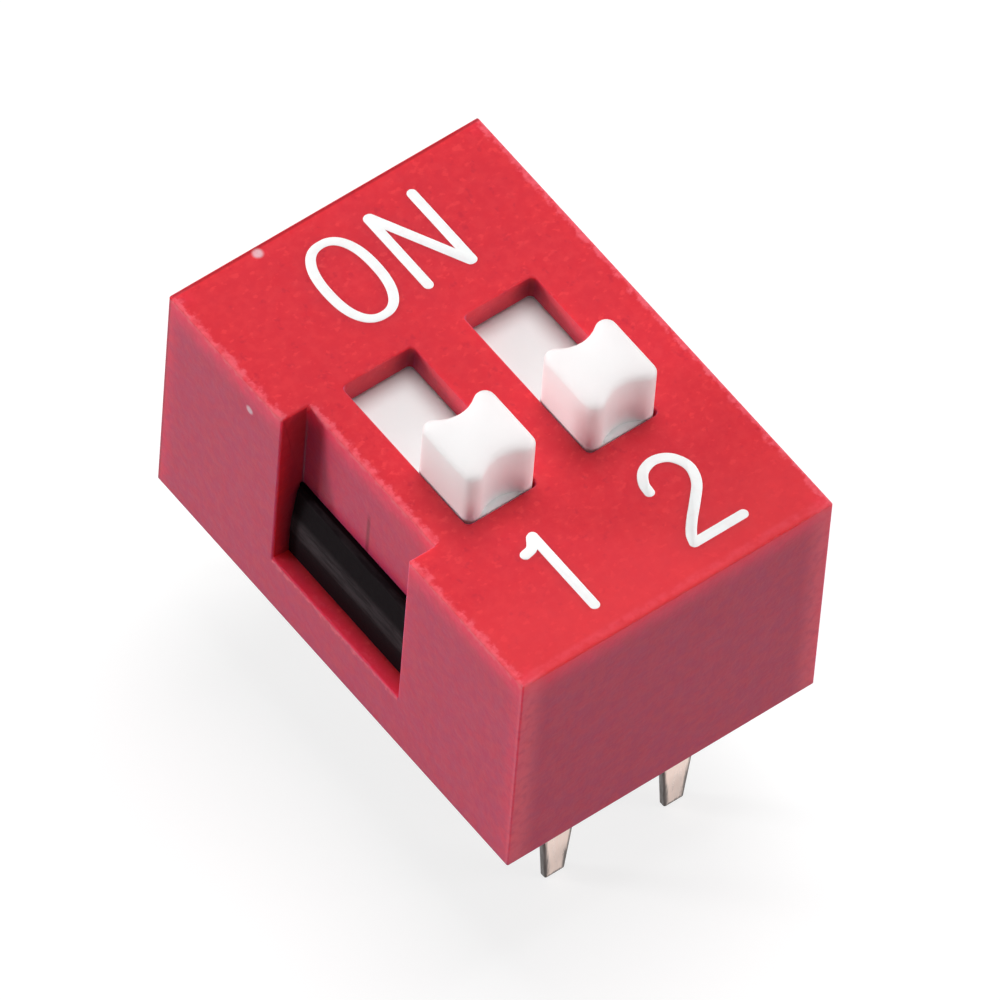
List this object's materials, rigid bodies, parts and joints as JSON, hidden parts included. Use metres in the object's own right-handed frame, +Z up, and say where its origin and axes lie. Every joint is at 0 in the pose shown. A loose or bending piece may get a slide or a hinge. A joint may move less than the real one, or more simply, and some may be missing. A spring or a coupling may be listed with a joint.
{
  "type": "dip switch",
  "caption": "Through-hole DIP switch: a boxy snap-together housing with raised slide actuators in parallel slots and flat tapered solder pins in rows beneath.",
  "frame": {"origin": "centre of the pin pattern on the seating plane, which is the cover's bottom rim", "axes": "+Z up out of the board, +Y towards the ON side, +X from pole 1 to pole 2"},
  "size_m": [0.0066, 0.0098, 0.0094],
  "materials": {
    "cover": "moulded thermoplastic, fine satin texture",
    "base": "moulded thermoplastic, smooth",
    "slider": "moulded thermoplastic, smooth satin",
    "contact": "gold-plated copper alloy spring strip",
    "terminal": "tin-plated brass strip"
  },
  "bodies": {
    "housing": {"cover": "cover", "base": "base", "front_terminal_1": "terminal", "front_terminal_2": "terminal", "back_terminal_1": "terminal", "back_terminal_2": "terminal"},
    "slider_1": {"slider_1": "slider", "contact_1": "contact"},
    "slider_2": {"slider_2": "slider", "contact_2": "contact"}
  },
  "joints": [
    {"name": "slide_1", "type": "slide", "parent": "housing", "child": "slider_1", "axis": [0, 1, 0], "range_m": [0, 0.002]},
    {"name": "slide_2", "type": "slide", "parent": "housing", "child": "slider_2", "axis": [0, 1, 0], "range_m": [0, 0.002]}
  ]
}
